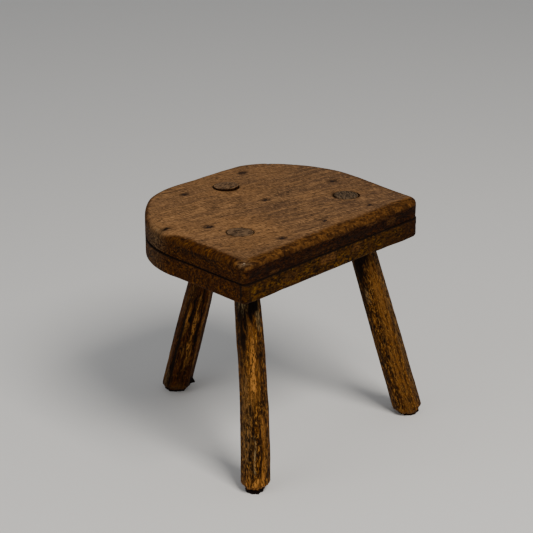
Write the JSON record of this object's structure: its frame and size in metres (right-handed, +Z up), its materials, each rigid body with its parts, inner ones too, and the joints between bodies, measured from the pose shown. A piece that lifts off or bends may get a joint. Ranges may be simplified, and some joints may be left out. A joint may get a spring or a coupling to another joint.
{
  "type": "milking stool",
  "caption": "Low wooden milking stool: a D-shaped seat of nailed boards on splayed round legs whose tenons come through the seat.",
  "frame": {"origin": "on the floor, at the middle of the stool's footprint (bottom centre of its bounding box)", "axes": "+Z up; the seat's flat edge faces -Y and its rounded edge faces +Y; +X runs along the flat edge"},
  "size_m": [0.2866, 0.2591, 0.267],
  "materials": {
    "seat_wood": "worn matte, old brown stain",
    "leg_wood": "worn satin, dark grime and amber wear",
    "nail_iron": "rusted wrought iron"
  },
  "bodies": {
    "root": {"upper_seat_board": "seat_wood", "lower_seat_board": "seat_wood", "leg_front_left": "leg_wood", "leg_front_right": "leg_wood", "leg_rear": "leg_wood", "nail_front_left": "nail_iron", "nail_front_middle": "nail_iron", "nail_front_right": "nail_iron", "nail_middle_left": "nail_iron", "nail_centre": "nail_iron", "nail_middle_right": "nail_iron", "nail_rear_left": "nail_iron", "nail_rear_right": "nail_iron"}
  },
  "joints": []
}
